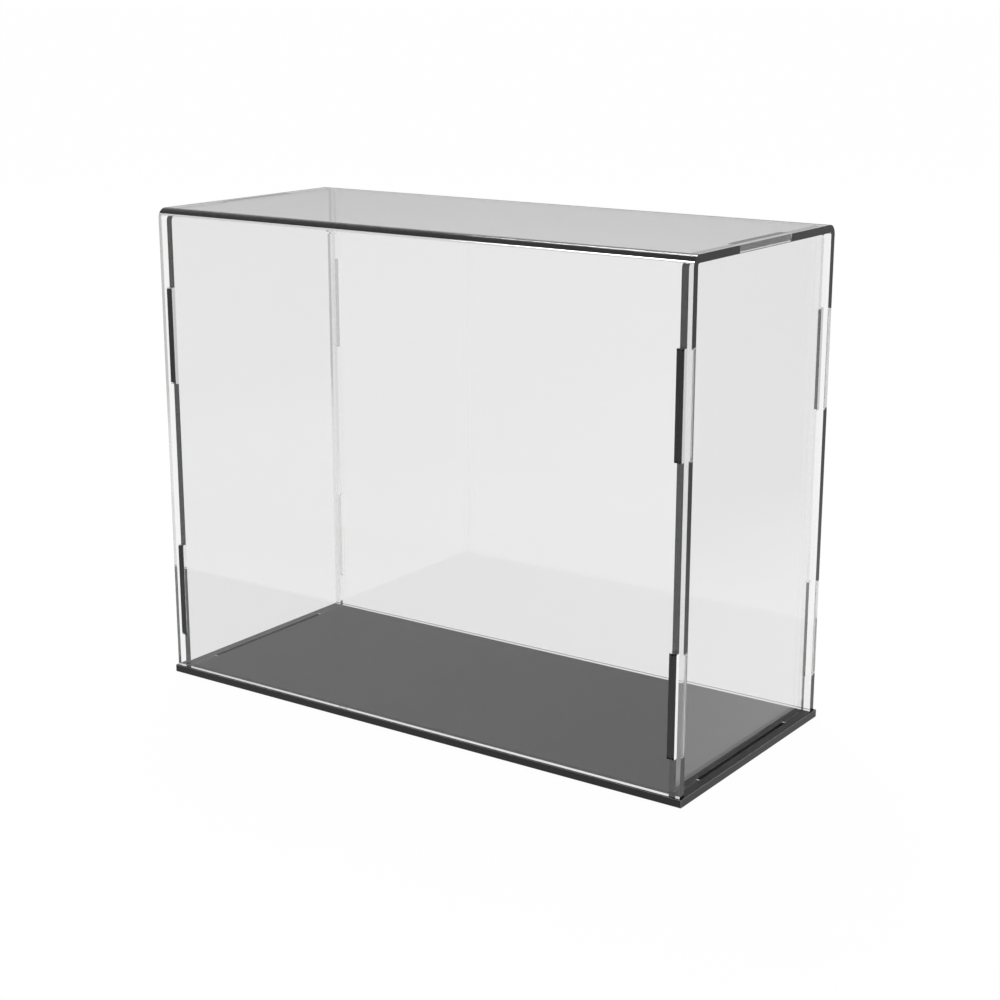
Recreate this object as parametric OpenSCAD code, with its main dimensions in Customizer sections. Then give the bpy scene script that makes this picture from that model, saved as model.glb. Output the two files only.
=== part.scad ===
// Acrylic display box: a clear cover standing on a black base plate. The cover is one sheet bent over the
// front, the top and the back, with a side panel near each end whose tabs pass through slots in that sheet.
// Origin at the centre of the base plate's underside, +Z up, the front towards -Y.

/* [Base plate] */
// Width of the base plate, left to right
base_w = 250; // [180:1:500]
// Depth of the base plate, front to back
base_d = 110; // [90:1:300]
// Thickness of the base plate
base_t = 3; // [2:0.5:8]
// Chamfer along the edges of the base plate
base_chamfer = 0.3; // [0.1:0.1:0.8]

/* [Bent cover] */
// Thickness of the bent sheet
sheet_t = 3; // [2:0.5:6]
// Height of the cover, from the base plate to the outside of its top
cover_h = 196; // [150:1:400]
// Radius on the inside of the two bends
bend_inner_r = 1; // [0.5:0.25:3]
// Base plate left showing past each end of the cover
end_ledge = 1; // [0:0.25:6]
// Base plate left showing before the front of the cover and behind its back
face_ledge = 0.75; // [0:0.25:6]

/* [Side panels] */
// Thickness of the side panels
panel_t = 2.8; // [2:0.1:6]
// Sheet left outside the side panels at each end of the cover
end_margin = 2.85; // [2:0.05:12]
// Radius of the two top corners
top_corner_r = 2; // [1:0.25:4]
// Length of each tab on the front and back edges
wall_tab_len = 39; // [20:1:60]
// Height of the lower wall tabs above the base plate
low_tab_up = 15; // [6:0.5:30]
// Distance of the upper wall tabs below the inside of the cover's top
high_tab_down = 29.5; // [6:0.5:40]
// Length of the tab on the top edge
top_tab_len = 39; // [20:1:60]
// Length of the tab on the bottom edge
base_tab_len = 69; // [30:1:75]

/* [Clearances] */
// Gap between the edges of a side panel and the inside of the cover
edge_gap = 0.1; // [0.05:0.05:0.4]
// Gap at each flat side of a tab in its slot in the cover
tab_side_gap = 0.15; // [0.05:0.05:0.4]
// Gap at each end of a tab in its slot, and below the bottom tab
tab_end_gap = 0.5; // [0.1:0.1:1]
// Gap at each flat side of the bottom tab in its slot in the base plate
base_slot_gap = 0.4; // [0.1:0.1:0.8]

/* [Hidden] */

// Smoothness of the bends and round corners
$fn = 48;
// How far a cut runs past the faces of its sheet
cut_over = 1;

// Outside of the cover in X and Y, its inside in Y and Z, and the outside of its bends
cover_w = base_w - 2 * end_ledge;
cover_d = base_d - 2 * face_ledge;
inner_d = cover_d - 2 * sheet_t;
inner_h = cover_h - sheet_t;
bend_r = bend_inner_r + sheet_t;

// Side panels: their middle plane in X, and their size inside the cover
side_x = cover_w / 2 - end_margin - panel_t / 2;
side_d = inner_d - 2 * edge_gap;
side_h = inner_h - edge_gap;

// Bottom of the lower and upper wall tabs above the base plate
wall_tab_zs = [low_tab_up, inner_h - high_tab_down - wall_tab_len];

// Slots for the tabs of a side panel: their width in the cover and in the base plate
slot_w = panel_t + 2 * tab_side_gap;
base_slot_w = panel_t + 2 * base_slot_gap;

black_acrylic = [0.10, 0.10, 0.11];
clear_acrylic = [0.86, 0.90, 0.92, 0.35];

// Cross-section of a plate of length l and thickness t with all four edges chamfered by c
module plate_section(l, t, c) {
    half = l / 2;
    polygon([
        [-half, c], [c - half, 0], [half - c, 0], [half, c],
        [half, t - c], [half - c, t], [c - half, t], [-half, t - c]
    ]);
}

// Flat plate w by d, centred on the origin, with its underside at z = 0 and chamfered edges
module chamfered_plate(w, d, t, c) {
    intersection() {
        rotate([90, 0, 0]) linear_extrude(d, center = true) plate_section(w, t, c);
        rotate([90, 0, 90]) linear_extrude(w, center = true) plate_section(d, t, c);
    }
}

// Outline w by h, centred across and standing on the first axis, with its two top corners rounded by r
module arch_outline(w, h, r) {
    translate([-w / 2, 0]) square([w, h - r]);
    translate([r - w / 2, 0]) square([w - 2 * r, h]);
    for (side = [-1, 1])
        translate([side * (w / 2 - r), h - r]) circle(r);
}

// Side panel outline in Y and Z, with the base plate's top at z = 0
module side_outline() {
    arch_outline(side_d, side_h, top_corner_r);
    for (z = wall_tab_zs)
        translate([-cover_d / 2, z]) square([cover_d, wall_tab_len]);
    translate([-top_tab_len / 2, inner_h / 2]) square([top_tab_len, cover_h - inner_h / 2]);
    translate([-base_tab_len / 2, tab_end_gap - base_t]) square([base_tab_len, base_t + inner_h / 2]);
}

// Extrudes an outline drawn in Y and Z along X, centred across and standing on the base plate
module along_x(w) {
    translate([0, 0, base_t])
        rotate([90, 0, 90]) linear_extrude(w, center = true) children();
}

module base_plate() {
    color(black_acrylic)
        difference() {
            chamfered_plate(base_w, base_d, base_t, base_chamfer);
            for (side = [-1, 1])
                translate([side * side_x, 0, base_t / 2])
                    cube([base_slot_w, base_tab_len + 2 * tab_end_gap, base_t + 2 * cut_over], center = true);
        }
}

// Sheet bent over the front, top and back: two slots near each end of its walls, one near each end of its top
module bent_cover() {
    wall_slot_len = wall_tab_len + 2 * tab_end_gap;
    top_slot_len = top_tab_len + 2 * tab_end_gap;
    color(clear_acrylic)
        difference() {
            along_x(cover_w)
                difference() {
                    arch_outline(cover_d, cover_h, bend_r);
                    translate([0, -cut_over]) arch_outline(inner_d, inner_h + cut_over, bend_inner_r);
                }
            for (side = [-1, 1]) translate([side * side_x, 0, base_t]) {
                for (z = wall_tab_zs)
                    translate([0, 0, z + wall_tab_len / 2])
                        cube([slot_w, cover_d + 2 * cut_over, wall_slot_len], center = true);
                translate([0, 0, cover_h - sheet_t / 2])
                    cube([slot_w, top_slot_len, sheet_t + 2 * cut_over], center = true);
            }
        }
}

// Side panel on the left (side = -1) or right (side = 1)
module side_panel(side) {
    color(clear_acrylic)
        translate([side * side_x, 0, 0]) along_x(panel_t) side_outline();
}

module left_panel() { side_panel(-1); }

module right_panel() { side_panel(1); }

base_plate();
bent_cover();
left_panel();
right_panel();
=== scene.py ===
import math

import bmesh
import bpy
from mathutils import Matrix, Vector


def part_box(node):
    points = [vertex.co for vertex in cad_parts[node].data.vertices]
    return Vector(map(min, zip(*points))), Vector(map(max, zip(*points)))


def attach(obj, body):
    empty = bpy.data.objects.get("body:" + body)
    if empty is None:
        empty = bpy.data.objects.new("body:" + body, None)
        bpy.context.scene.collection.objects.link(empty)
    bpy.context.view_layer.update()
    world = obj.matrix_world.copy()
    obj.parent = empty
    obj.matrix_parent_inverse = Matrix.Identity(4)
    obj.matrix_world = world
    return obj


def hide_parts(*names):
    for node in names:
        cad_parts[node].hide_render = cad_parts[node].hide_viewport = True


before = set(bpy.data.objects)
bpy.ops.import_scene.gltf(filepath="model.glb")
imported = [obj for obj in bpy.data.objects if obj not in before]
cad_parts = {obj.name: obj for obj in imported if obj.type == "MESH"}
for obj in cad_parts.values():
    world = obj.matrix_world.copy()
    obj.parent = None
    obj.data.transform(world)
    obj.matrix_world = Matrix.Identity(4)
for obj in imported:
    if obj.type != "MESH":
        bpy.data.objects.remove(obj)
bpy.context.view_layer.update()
mm = 0.001
print("frame loaded:", ", ".join(sorted(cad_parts)))


def hexToLinear(code):
    values = [int(code[i:i + 2], 16) / 255 for i in (0, 2, 4)]
    return tuple(v / 12.92 if v <= 0.04045 else ((v + 0.055) / 1.055) ** 2.4 for v in values) + (1.0,)


# a value that is a socket is linked, any other is written on the input itself
def addNode(tree, kind, inputs=None, **settings):
    node = tree.nodes.new(kind)
    for key, value in settings.items():
        setattr(node, key, value)
    for key, value in (inputs or {}).items():
        for part in value if isinstance(value, list) else [value]:
            if isinstance(part, bpy.types.NodeSocket):
                tree.links.new(part, node.inputs[key])
            else:
                node.inputs[key].default_value = part
    return node


def addMix(tree, share, first, second):
    return addNode(tree, "ShaderNodeMix", {
        "Factor": share, "A": first, "B": second,
    }, data_type="FLOAT").outputs["Result"]


def newMaterial(name):
    material = bpy.data.materials.new(name)
    material.use_nodes = True
    material.node_tree.nodes.clear()
    return material, material.node_tree


white = hexToLinear("FFFFFF")

# cast acrylic, polished faces: colourless and mirror smooth, so the eye gets a faint grey veil,
# the room's reflections and dark or bright lines where the cut edges bend the light
clearLook = {"ior": 1.491, "roughness": 0.0, "body": "F3F3F3", "bodyDensity": 290.0}

clearAcrylic, tree = newMaterial("castAcrylicClear")
surface = addNode(tree, "ShaderNodeBsdfPrincipled", {
    "Base Color": white,
    "Roughness": clearLook["roughness"],
    "IOR": clearLook["ior"],
    "Transmission Weight": 1.0,
})
body = addNode(tree, "ShaderNodeVolumeAbsorption", {
    "Color": hexToLinear(clearLook["body"]), "Density": clearLook["bodyDensity"],
})
addNode(tree, "ShaderNodeOutputMaterial", {
    "Surface": surface.outputs["BSDF"], "Volume": body.outputs["Volume"],
})

# black acrylic with a satin face: deep black that greys at a flat angle, with a very fine grain,
# its size and depth in mm
blackLook = {
    "colour": "181819", "ior": 1.491, "gloss": 0.36, "roughness": 0.42, "roughnessSwing": 0.06,
    "grainSize": 0.5, "grainDepth": 0.02, "grainDetail": 2.0, "grainMix": 0.6, "grainBump": 0.3,
}

blackAcrylic, tree = newMaterial("satinAcrylicBlack")
place = addNode(tree, "ShaderNodeTexCoord")
grain = addNode(tree, "ShaderNodeTexNoise", {
    "Vector": place.outputs["Object"],
    "Scale": 1 / (blackLook["grainSize"] * mm),
    "Detail": blackLook["grainDetail"],
    "Roughness": blackLook["grainMix"],
})
rough = addNode(tree, "ShaderNodeMapRange", {
    "Value": grain.outputs["Fac"],
    "To Min": blackLook["roughness"] - blackLook["roughnessSwing"],
    "To Max": blackLook["roughness"] + blackLook["roughnessSwing"],
})
bump = addNode(tree, "ShaderNodeBump", {
    "Height": grain.outputs["Fac"],
    "Strength": blackLook["grainBump"],
    "Distance": blackLook["grainDepth"] * mm,
})
surface = addNode(tree, "ShaderNodeBsdfPrincipled", {
    "Base Color": hexToLinear(blackLook["colour"]),
    "Roughness": rough.outputs["Result"],
    "IOR": blackLook["ior"],
    "Specular IOR Level": blackLook["gloss"],
    "Normal": bump.outputs["Normal"],
})
addNode(tree, "ShaderNodeOutputMaterial", {"Surface": surface.outputs["BSDF"]})
print("materials made")

# points closer than this are one point
weldDistance = 0.001 * mm


def newTree(name, inputs):
    tree = bpy.data.node_groups.new(name, "GeometryNodeTree")
    tree.interface.new_socket("Geometry", in_out="OUTPUT", socket_type="NodeSocketGeometry")
    for label, kind in inputs.items():
        tree.interface.new_socket(label, in_out="INPUT", socket_type="NodeSocket" + kind)
    return tree, tree.nodes.new("NodeGroupInput").outputs


def closeTree(tree, geometry, material):
    real = addNode(tree, "GeometryNodeRealizeInstances", {"Geometry": geometry})
    dressed = addNode(tree, "GeometryNodeSetMaterial", {
        "Geometry": real.outputs["Geometry"], "Material": material,
    })
    addNode(tree, "NodeGroupOutput", {"Geometry": dressed.outputs["Geometry"]})


def addBox(tree, size, centre):
    cube = addNode(tree, "GeometryNodeMeshCube", {"Size": size})
    moved = addNode(tree, "GeometryNodeTransform", {
        "Geometry": cube.outputs["Mesh"], "Translation": centre,
    })
    return moved.outputs["Geometry"]


# a block of the given size whose two top edges along X are rounded: its end outline is drawn flat,
# filled, raised to the block's length, centred and stood up
def addArch(tree, size, centre, radius, steps):
    axes = addNode(tree, "ShaderNodeSeparateXYZ", {"Vector": size}).outputs
    outline = addNode(tree, "GeometryNodeCurvePrimitiveQuadrilateral", {
        "Width": axes["Y"], "Height": axes["Z"],
    })
    spot = addNode(tree, "GeometryNodeInputPosition").outputs["Position"]
    height = addNode(tree, "ShaderNodeSeparateXYZ", {"Vector": spot}).outputs["Y"]
    isTop = addNode(tree, "ShaderNodeMath", {0: height, 1: 0.0}, operation="GREATER_THAN").outputs[0]
    bend = addNode(tree, "ShaderNodeMath", {0: isTop, 1: radius}, operation="MULTIPLY").outputs[0]
    rounded = addNode(tree, "GeometryNodeFilletCurve", {
        "Curve": outline.outputs["Curve"], "Count": steps, "Radius": bend,
    }, mode="POLY")
    filled = addNode(tree, "GeometryNodeFillCurve", {"Curve": rounded.outputs["Curve"]}, mode="NGONS")
    face = filled.outputs["Mesh"]
    length = addNode(tree, "ShaderNodeCombineXYZ", {"Z": axes["X"]}).outputs["Vector"]
    raised = addNode(tree, "GeometryNodeExtrudeMesh", {
        "Mesh": face, "Offset": length, "Individual": False,
    }, mode="FACES")
    under = addNode(tree, "GeometryNodeFlipFaces", {"Mesh": face})
    both = addNode(tree, "GeometryNodeJoinGeometry", {
        "Geometry": [raised.outputs["Mesh"], under.outputs["Mesh"]],
    })
    closed = addNode(tree, "GeometryNodeMergeByDistance", {
        "Geometry": both.outputs["Geometry"], "Distance": weldDistance,
    })
    back = addNode(tree, "ShaderNodeVectorMath", {
        0: length, 1: (0.0, 0.0, -0.5),
    }, operation="MULTIPLY")
    level = addNode(tree, "GeometryNodeTransform", {
        "Geometry": closed.outputs["Geometry"], "Translation": back.outputs[0],
    })
    upright = addNode(tree, "GeometryNodeTransform", {
        "Geometry": level.outputs["Geometry"], "Translation": centre,
        "Rotation": (math.pi / 2, 0.0, math.pi / 2),
    })
    return upright.outputs["Geometry"]


# slots left and right of the middle: points 0 and 1 at the low height, 2 and 3 at the high one
def addCutters(tree, count, size, offset, low, high):
    index = addNode(tree, "GeometryNodeInputIndex").outputs["Index"]
    odd = addNode(tree, "ShaderNodeMath", {0: index, 1: 2.0}, operation="MODULO").outputs[0]
    sign = addNode(tree, "ShaderNodeMath", {
        0: odd, 1: 2.0, 2: -1.0,
    }, operation="MULTIPLY_ADD").outputs[0]
    across = addNode(tree, "ShaderNodeMath", {0: sign, 1: offset}, operation="MULTIPLY").outputs[0]
    isHigh = addNode(tree, "ShaderNodeMath", {0: index, 1: 1.5}, operation="GREATER_THAN").outputs[0]
    rise = addMix(tree, isHigh, low, high)
    spot = addNode(tree, "ShaderNodeCombineXYZ", {"X": across, "Z": rise}).outputs["Vector"]
    points = addNode(tree, "GeometryNodePoints", {"Count": count, "Position": spot})
    cutter = addNode(tree, "GeometryNodeMeshCube", {"Size": size})
    cutters = addNode(tree, "GeometryNodeInstanceOnPoints", {
        "Points": points.outputs["Points"], "Instance": cutter.outputs["Mesh"],
    })
    real = addNode(tree, "GeometryNodeRealizeInstances", {"Geometry": cutters.outputs["Instances"]})
    return real.outputs["Geometry"]


def addCut(tree, body, cutters):
    return addNode(tree, "GeometryNodeMeshBoolean", {
        "Mesh 1": body, "Mesh 2": cutters,
    }, operation="DIFFERENCE", solver="EXACT").outputs["Mesh"]


slottedPlate, given = newTree("slottedPlate", {
    "Plate Size": "Vector", "Plate Centre": "Vector", "Slot Size": "Vector", "Slot Offset": "Float",
    "Material": "Material",
})
height = addNode(slottedPlate, "ShaderNodeSeparateXYZ", {"Vector": given["Plate Centre"]}).outputs["Z"]
plate = addBox(slottedPlate, given["Plate Size"], given["Plate Centre"])
slots = addCutters(slottedPlate, 2, given["Slot Size"], given["Slot Offset"], height, height)
closeTree(slottedPlate, addCut(slottedPlate, plate, slots), given["Material"])

bentSheet, given = newTree("bentSheet", {
    "Outer Size": "Vector", "Outer Centre": "Vector", "Inner Size": "Vector", "Inner Centre": "Vector",
    "Bend Radius": "Float", "Inner Radius": "Float", "Bend Steps": "Int", "Slot Offset": "Float",
    "Wall Slot Size": "Vector", "Low Slot": "Float", "High Slot": "Float",
    "Top Slot Size": "Vector", "Top Slot": "Float", "Material": "Material",
})
steps, offset = given["Bend Steps"], given["Slot Offset"]
outer = addArch(bentSheet, given["Outer Size"], given["Outer Centre"], given["Bend Radius"], steps)
inner = addArch(bentSheet, given["Inner Size"], given["Inner Centre"], given["Inner Radius"], steps)
low, high = given["Low Slot"], given["High Slot"]
wallSlots = addCutters(bentSheet, 4, given["Wall Slot Size"], offset, low, high)
level = given["Top Slot"]
topSlots = addCutters(bentSheet, 2, given["Top Slot Size"], offset, level, level)
shell = addCut(bentSheet, outer, [inner, topSlots])
closeTree(bentSheet, addCut(bentSheet, shell, wallSlots), given["Material"])

# the panel with two bars across it, whose ends are the wall tabs, and one bar up and one down
tabbedPanel, given = newTree("tabbedPanel", {
    "Panel Size": "Vector", "Panel Centre": "Vector", "Corner Radius": "Float", "Corner Steps": "Int",
    "Wall Bar Size": "Vector", "Low Bar": "Vector", "High Bar": "Vector",
    "Top Bar Size": "Vector", "Top Bar": "Vector", "Base Bar Size": "Vector", "Base Bar": "Vector",
    "Material": "Material",
})
corner, steps = given["Corner Radius"], given["Corner Steps"]
merged = addNode(tabbedPanel, "GeometryNodeMeshBoolean", {
    "Mesh 2": [
        addArch(tabbedPanel, given["Panel Size"], given["Panel Centre"], corner, steps),
        addBox(tabbedPanel, given["Wall Bar Size"], given["Low Bar"]),
        addBox(tabbedPanel, given["Wall Bar Size"], given["High Bar"]),
        addBox(tabbedPanel, given["Top Bar Size"], given["Top Bar"]),
        addBox(tabbedPanel, given["Base Bar Size"], given["Base Bar"]),
    ],
}, operation="UNION", solver="EXACT")
closeTree(tabbedPanel, merged.outputs["Mesh"], given["Material"])

# faces that turn less than the first angle become one, and edges that turn more than the second are sharp
flatAngle = math.radians(0.5)
sharpAngle = math.radians(40)
# a face whose normal lies this close to an axis is a broad face, which is shaded flat
broadNormal = 0.9999
edgeSegments = 2


# bakes a tree, breaks its sharp edges where a width is given, and keeps the broad faces optically flat
def makePiece(name, tree, values, edgeWidth):
    holder = bpy.data.objects.new(name, bpy.data.meshes.new(name))
    bpy.context.scene.collection.objects.link(holder)
    nodes = holder.modifiers.new("sheet", "NODES")
    nodes.node_group = tree
    for item in tree.interface.items_tree:
        if item.in_out == "INPUT":
            nodes[item.identifier] = values[item.name]
    graph = bpy.context.evaluated_depsgraph_get()
    mesh = bpy.data.meshes.new_from_object(holder.evaluated_get(graph), depsgraph=graph)
    bpy.data.objects.remove(holder)
    work = bmesh.new()
    work.from_mesh(mesh)
    bmesh.ops.remove_doubles(work, verts=work.verts, dist=weldDistance)
    bmesh.ops.dissolve_limit(work, angle_limit=flatAngle, verts=work.verts, edges=work.edges)
    if edgeWidth:
        corners = [edge for edge in work.edges if edge.calc_face_angle(0.0) > sharpAngle]
        bmesh.ops.bevel(
            work, geom=corners, offset=edgeWidth * mm, segments=edgeSegments, profile=0.5, affect="EDGES",
        )
    for face in work.faces:
        face.smooth = max(abs(v) for v in face.normal) < broadNormal
    for edge in work.edges:
        edge.smooth = edge.calc_face_angle(0.0) < sharpAngle
    work.to_mesh(mesh)
    work.free()
    mesh.name = name
    piece = bpy.data.objects.new(name, mesh)
    bpy.context.scene.collection.objects.link(piece)
    return piece


def boxOf(node):
    low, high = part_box(node)
    return (low + high) / 2, high - low


# a cutter is longer than what it cuts: a little along a wide side, twice through a sheet
pastSide = 1.1
pastSheet = 2
sideX = boxOf("right_panel")[0].x

# lengths in mm; the base plate's own size comes from the frame
baseSize = {"slotWidth": 3.6, "slotLength": 70.0, "edge": 0.05}

centre, size = boxOf("base_plate")
baseTop = centre.z + size.z / 2
basePlate = makePiece("basePlate", slottedPlate, {
    "Plate Size": list(size), "Plate Centre": list(centre), "Slot Offset": sideX,
    "Slot Size": [baseSize["slotWidth"] * mm, baseSize["slotLength"] * mm, size.z * pastSheet],
    "Material": blackAcrylic,
}, baseSize["edge"])
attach(basePlate, "base")
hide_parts("base_plate")

# lengths in mm, slot heights to their middle; the air under the sheet makes its foot mirror the room
coverSize = {
    "thickness": 3.0, "innerBend": 1.0, "bendSteps": 20, "slotWidth": 3.1, "slotLength": 40.0,
    "lowSlot": 37.5, "highSlot": 147.0, "seatGap": 0.05, "edge": 0.0,
}

low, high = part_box("bent_cover")
low.z += coverSize["seatGap"] * mm
sheet = coverSize["thickness"] * mm
bend = coverSize["innerBend"] * mm
size = high - low
centre = (low + high) / 2
slotWidth, slotLength = coverSize["slotWidth"] * mm, coverSize["slotLength"] * mm
bentCover = makePiece("bentCover", bentSheet, {
    "Outer Size": list(size), "Outer Centre": list(centre),
    "Inner Size": [size.x * pastSide, size.y - 2 * sheet, size.z],
    "Inner Centre": [0.0, 0.0, centre.z - sheet],
    "Bend Radius": bend + sheet, "Inner Radius": bend, "Bend Steps": coverSize["bendSteps"],
    "Slot Offset": sideX,
    "Wall Slot Size": [slotWidth, size.y * pastSide, slotLength],
    "Low Slot": coverSize["lowSlot"] * mm, "High Slot": coverSize["highSlot"] * mm,
    "Top Slot Size": [slotWidth, slotLength, sheet * pastSheet], "Top Slot": high.z - sheet / 2,
    "Material": clearAcrylic,
}, coverSize["edge"])
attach(bentCover, "cover")
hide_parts("bent_cover")

# lengths in mm, tab heights to their middle; sunk a hair into the base, so that its foot shows the black
sideSize = {
    "wallTab": 39.0, "lowTab": 37.5, "highTab": 147.0, "topTab": 39.0, "baseTab": 69.0,
    "edgeGap": 0.1, "sink": 0.02, "topCorner": 2.0, "cornerSteps": 12, "edge": 0.0,
}

edgeGap = sideSize["edgeGap"] * mm
for name, node in (("leftPanel", "left_panel"), ("rightPanel", "right_panel")):
    low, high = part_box(node)
    x, thick, deep = (low.x + high.x) / 2, high.x - low.x, high.y - low.y
    bottom, top = baseTop - sideSize["sink"] * mm, high.z - sheet - edgeGap
    middle = (bottom + top) / 2
    panel = makePiece(name, tabbedPanel, {
        "Panel Size": [thick, deep - 2 * sheet - 2 * edgeGap, top - bottom],
        "Panel Centre": [x, 0.0, middle],
        "Corner Radius": sideSize["topCorner"] * mm, "Corner Steps": sideSize["cornerSteps"],
        "Wall Bar Size": [thick, deep, sideSize["wallTab"] * mm],
        "Low Bar": [x, 0.0, sideSize["lowTab"] * mm], "High Bar": [x, 0.0, sideSize["highTab"] * mm],
        "Top Bar Size": [thick, sideSize["topTab"] * mm, high.z - middle],
        "Top Bar": [x, 0.0, (high.z + middle) / 2],
        "Base Bar Size": [thick, sideSize["baseTab"] * mm, middle - low.z],
        "Base Bar": [x, 0.0, (middle + low.z) / 2],
        "Material": clearAcrylic,
    }, sideSize["edge"])
    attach(panel, "cover")
    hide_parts(node)
print("sheets made")


# 1 for rays from the eye and for those that mirror or pass clear sheets
def seenRays(tree):
    path = addNode(tree, "ShaderNodeLightPath")
    some = addNode(tree, "ShaderNodeMath", {
        0: path.outputs["Is Camera Ray"], 1: path.outputs["Is Glossy Ray"],
    }, operation="MAXIMUM")
    return addNode(tree, "ShaderNodeMath", {
        0: some.outputs[0], 1: path.outputs["Is Transmission Ray"],
    }, operation="MAXIMUM").outputs[0]


# the studio: a white sweep that fans out behind the box from the point under the photograph's place of
# view, and a pale grey room on the other sides; all of it is fixed in the room
studioLook = {
    "behind": (-0.573, 0.820, 0.0), "right": (0.820, 0.573, 0.0), "fanFrom": (0.434, -0.611, 0.0),
    "edge": 0.963,
}


# how far a direction points to one side of the studio, seen from above: 1 straight to it, -1 away from it
def toSide(tree, direction, side):
    level = addNode(tree, "ShaderNodeVectorMath", {
        0: direction, 1: (1.0, 1.0, 0.0),
    }, operation="MULTIPLY")
    unit = addNode(tree, "ShaderNodeVectorMath", {0: level.outputs[0]}, operation="NORMALIZE")
    dot = addNode(tree, "ShaderNodeVectorMath", {
        0: unit.outputs[0], 1: studioLook[side],
    }, operation="DOT_PRODUCT")
    return dot.outputs["Value"]


def addRange(tree, value, fromMin, fromMax, toMin, toMax):
    return addNode(tree, "ShaderNodeMapRange", {
        "Value": value, "From Min": fromMin, "From Max": fromMax, "To Min": toMin, "To Max": toMax,
    }, interpolation_type="SMOOTHSTEP").outputs["Result"]


# a pale floor a hair under the box: its glow is white along the sweep, with a painted pool of light where
# it starts and painted shade greyer to the right than to the left, with a trace of shadow; size and pool
# in m, drop in mm
floorLook = {
    "size": 60.0, "drop": 0.02, "glow": 0.97, "left": 0.8, "right": 0.6, "leftEnd": -0.4, "rightEnd": 0.4,
    "sideEdge": 0.88, "poolEdge": 0.45, "poolEnd": 0.85, "shade": "F2F2F2", "shadowShare": 0.05,
}

floorMesh = bpy.data.meshes.new("floor")
half = floorLook["size"] / 2
corners = [(-half, -half, 0), (half, -half, 0), (half, half, 0), (-half, half, 0)]
floorMesh.from_pydata(corners, [], [(0, 1, 2, 3)])
floor = bpy.data.objects.new("floor", floorMesh)
floor.location.z = -floorLook["drop"] * mm
bpy.context.scene.collection.objects.link(floor)

floorPaint, tree = newMaterial("paleFloor")
spot = addNode(tree, "ShaderNodeTexCoord").outputs["Object"]
fan = addNode(tree, "ShaderNodeVectorMath", {
    0: spot, 1: studioLook["fanFrom"],
}, operation="SUBTRACT").outputs[0]
# painted shade: the floor's glow greys towards the sides, more to the right than to the left
paintedSideShade = addRange(
    tree, toSide(tree, fan, "right"), floorLook["leftEnd"], floorLook["rightEnd"],
    floorLook["left"], floorLook["right"],
)
sweep = addRange(tree, toSide(tree, fan, "behind"), floorLook["sideEdge"], studioLook["edge"], 0.0, 1.0)
reach = addNode(tree, "ShaderNodeVectorMath", {0: fan}, operation="LENGTH").outputs["Value"]
# painted pool of light: the glow stays white within this reach of the point the sweep fans from
paintedPool = addRange(tree, reach, floorLook["poolEdge"], floorLook["poolEnd"], 1.0, 0.0)
pale = addNode(tree, "ShaderNodeMath", {0: sweep, 1: paintedPool}, operation="MAXIMUM").outputs[0]
level = addMix(tree, pale, paintedSideShade, floorLook["glow"])
matt = addNode(tree, "ShaderNodeBsdfDiffuse", {"Color": hexToLinear(floorLook["shade"])})
faint = addNode(tree, "ShaderNodeBsdfDiffuse", {"Color": (floorLook["shadowShare"],) * 3 + (1.0,)})
glow = addNode(tree, "ShaderNodeEmission", {"Color": white, "Strength": level})
bright = addNode(tree, "ShaderNodeAddShader", {0: faint.outputs[0], 1: glow.outputs[0]})
paint = addNode(tree, "ShaderNodeMixShader", {
    0: seenRays(tree), 1: matt.outputs[0], 2: bright.outputs[0],
})
addNode(tree, "ShaderNodeOutputMaterial", {"Surface": paint.outputs[0]})
floorMesh.materials.append(floorPaint)

# white low down behind the box, over it a dim wall with a soft glow from above, and a grey room all round
roomLook = {
    "level": 0.5, "white": 1.0, "whiteEdge": 0.80, "sweepTop": 0.055, "sweepEnd": 0.092,
    "wallBehind": 0.45, "wallFront": 0.8, "ceiling": 0.75, "ceilingFrom": -0.2, "ceilingTo": 1.0,
    "glow": 0.5, "glowTo": (-0.491, 0.703, 0.515), "glowFocus": 22.0,
}

world = bpy.data.worlds.new("room")
world.use_nodes = True
tree = world.node_tree
tree.nodes.clear()
toward = addNode(tree, "ShaderNodeTexCoord").outputs["Generated"]
up = addNode(tree, "ShaderNodeSeparateXYZ", {"Vector": toward}).outputs["Z"]
along = toSide(tree, toward, "behind")
wall = addRange(tree, along, -1.0, 1.0, roomLook["wallFront"], roomLook["wallBehind"])
over = addRange(tree, up, roomLook["ceilingFrom"], roomLook["ceilingTo"], 0.0, 1.0)
wall = addMix(tree, over, wall, roomLook["ceiling"])
under = addRange(tree, up, roomLook["sweepTop"], roomLook["sweepEnd"], 1.0, 0.0)
sweep = addRange(tree, along, roomLook["whiteEdge"], studioLook["edge"], 0.0, 1.0)
share = addNode(tree, "ShaderNodeMath", {0: under, 1: sweep}, operation="MULTIPLY").outputs[0]
wall = addMix(tree, share, wall, roomLook["white"])
aim = addNode(tree, "ShaderNodeVectorMath", {
    0: toward, 1: roomLook["glowTo"],
}, operation="DOT_PRODUCT").outputs["Value"]
ahead = addNode(tree, "ShaderNodeMath", {0: aim, 1: 0.0}, operation="MAXIMUM").outputs[0]
focus = addNode(tree, "ShaderNodeMath", {
    0: ahead, 1: roomLook["glowFocus"],
}, operation="POWER").outputs[0]
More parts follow.
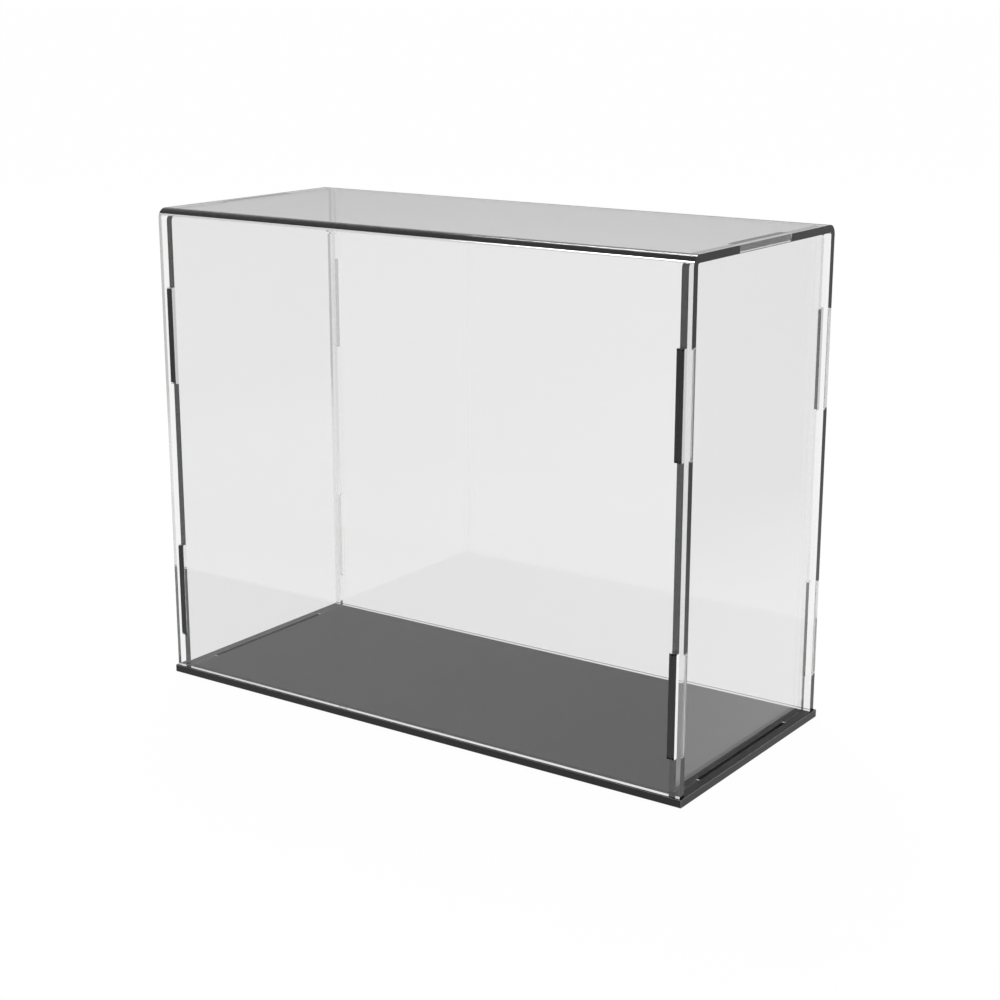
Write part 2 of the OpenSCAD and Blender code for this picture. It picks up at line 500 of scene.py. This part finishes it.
lit = addNode(tree, "ShaderNodeMath", {
    0: focus, 1: roomLook["glow"], 2: wall,
}, operation="MULTIPLY_ADD").outputs[0]
strength = addMix(tree, seenRays(tree), roomLook["level"], lit)
sky = addNode(tree, "ShaderNodeBackground", {"Color": white, "Strength": strength})
addNode(tree, "ShaderNodeOutputWorld", {"Surface": sky.outputs[0]})
bpy.context.scene.world = world

# a soft lamp above and behind, turned to the middle of the box; lengths in m
lampLook = {
    "direction": (-0.38, 0.42, 0.82), "distance": 1.6, "aim": (0.0, 0.0, 0.1), "size": 0.5, "watts": 8.0,
}
lampData = bpy.data.lights.new("softbox", "AREA")
lampData.shape = "SQUARE"
lampData.size = lampLook["size"]
lampData.energy = lampLook["watts"]
lamp = bpy.data.objects.new("softbox", lampData)
away = Vector(lampLook["direction"]).normalized()
lamp.location = away * lampLook["distance"] + Vector(lampLook["aim"])
lamp.rotation_euler = away.to_track_quat("Z", "Y").to_euler()
bpy.context.scene.collection.objects.link(lamp)

# where the photograph was taken from, at the box's own size; place and farthest in m, sensor in mm
cameraLook = {
    "place": (0.43409, -0.61120, 0.28437), "forward": (-0.55312, 0.79194, -0.25861),
    "right": (0.81978, 0.57268, 0.00036), "focalPixels": 1904.32, "imagePixels": 1000, "sensor": 36.0,
    "farthest": 200.0,
}
forward = Vector(cameraLook["forward"]).normalized()
right = Vector(cameraLook["right"])
right = (right - right.dot(forward) * forward).normalized()
upward = right.cross(forward)
cameraData = bpy.data.cameras.new("camera")
cameraData.sensor_width = cameraLook["sensor"]
cameraData.lens = cameraLook["sensor"] * cameraLook["focalPixels"] / cameraLook["imagePixels"]
cameraData.clip_end = cameraLook["farthest"]
camera = bpy.data.objects.new("camera", cameraData)
turn = Matrix((right, upward, -forward)).transposed().to_4x4()
camera.matrix_world = Matrix.Translation(cameraLook["place"]) @ turn
bpy.context.scene.collection.objects.link(camera)
bpy.context.scene.camera = camera
bpy.context.scene.view_settings.view_transform = "Standard"
print("floor, light and camera made")
